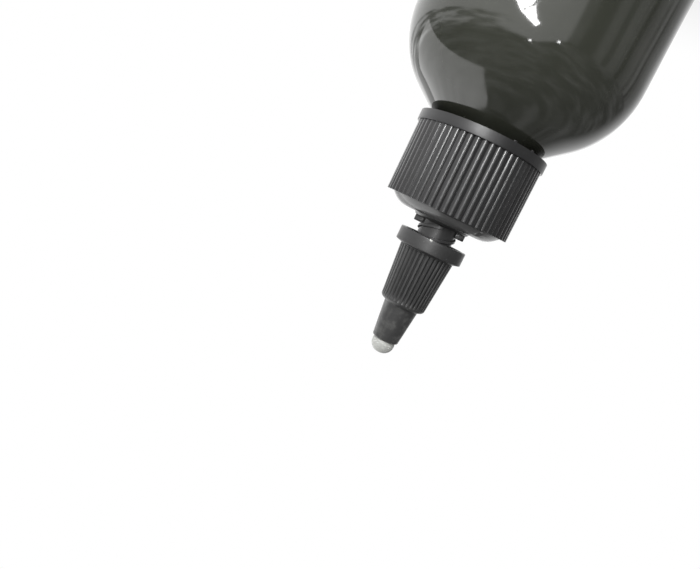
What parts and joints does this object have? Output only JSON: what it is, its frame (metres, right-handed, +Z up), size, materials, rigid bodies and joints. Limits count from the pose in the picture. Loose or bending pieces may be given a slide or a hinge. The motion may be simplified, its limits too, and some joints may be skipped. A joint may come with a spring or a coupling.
{
  "type": "chain lubricant bottle",
  "caption": "Round-shouldered squeeze bottle for bicycle chain lubricant, with a ribbed screw cap and a twist nozzle that rises on a cam to open and shuts on a sealing pin.",
  "frame": {"origin": "centre of the base, on the surface that the bottle stands on", "axes": "+Z up along the bottle's axis to the nozzle, +Y away from the viewer, with the collar's two lugs on the X axis"},
  "size_m": [0.048, 0.048, 0.147],
  "materials": {
    "bottle_plastic": "glossy blown plastic, black with a faint olive cast",
    "cap_plastic": "satin moulded plastic, black",
    "nozzle_plastic": "satin moulded plastic, black, with smears of dried lubricant",
    "liner_foam": "soft white foam",
    "lubricant": "milky off-white liquid"
  },
  "bodies": {
    "bottle": {"bottle": "bottle_plastic", "lubricant_fill": "lubricant"},
    "liner": {"sealing_liner": "liner_foam"},
    "cap": {"screw_cap": "cap_plastic"},
    "bead": {"lubricant_bead": "lubricant"},
    "nozzle": {"twist_nozzle": "nozzle_plastic"}
  },
  "joints": [
    {"name": "cap_lift", "type": "slide", "parent": "bottle", "child": "liner", "axis": [0, 0, 1], "range_m": [0, 0.00635]},
    {"name": "cap_unscrew", "type": "hinge", "parent": "liner", "child": "cap", "pos_m": [0, 0, 0.105], "axis": [0, 0, 1], "range_deg": [0, 720.5]},
    {"name": "nozzle_lift", "type": "slide", "parent": "cap", "child": "bead", "axis": [0, 0, 1], "range_m": [-0.0036, 0]},
    {"name": "nozzle_twist", "type": "hinge", "parent": "bead", "child": "nozzle", "pos_m": [0, 0, 0.13], "axis": [0, 0, 1], "range_deg": [-240.5, 0]}
  ],
  "couplings": [
    {"joint": "cap_unscrew", "follows": "cap_lift", "rad_per_m": 1979},
    {"joint": "nozzle_twist", "follows": "nozzle_lift", "rad_per_m": 1163.6}
  ]
}
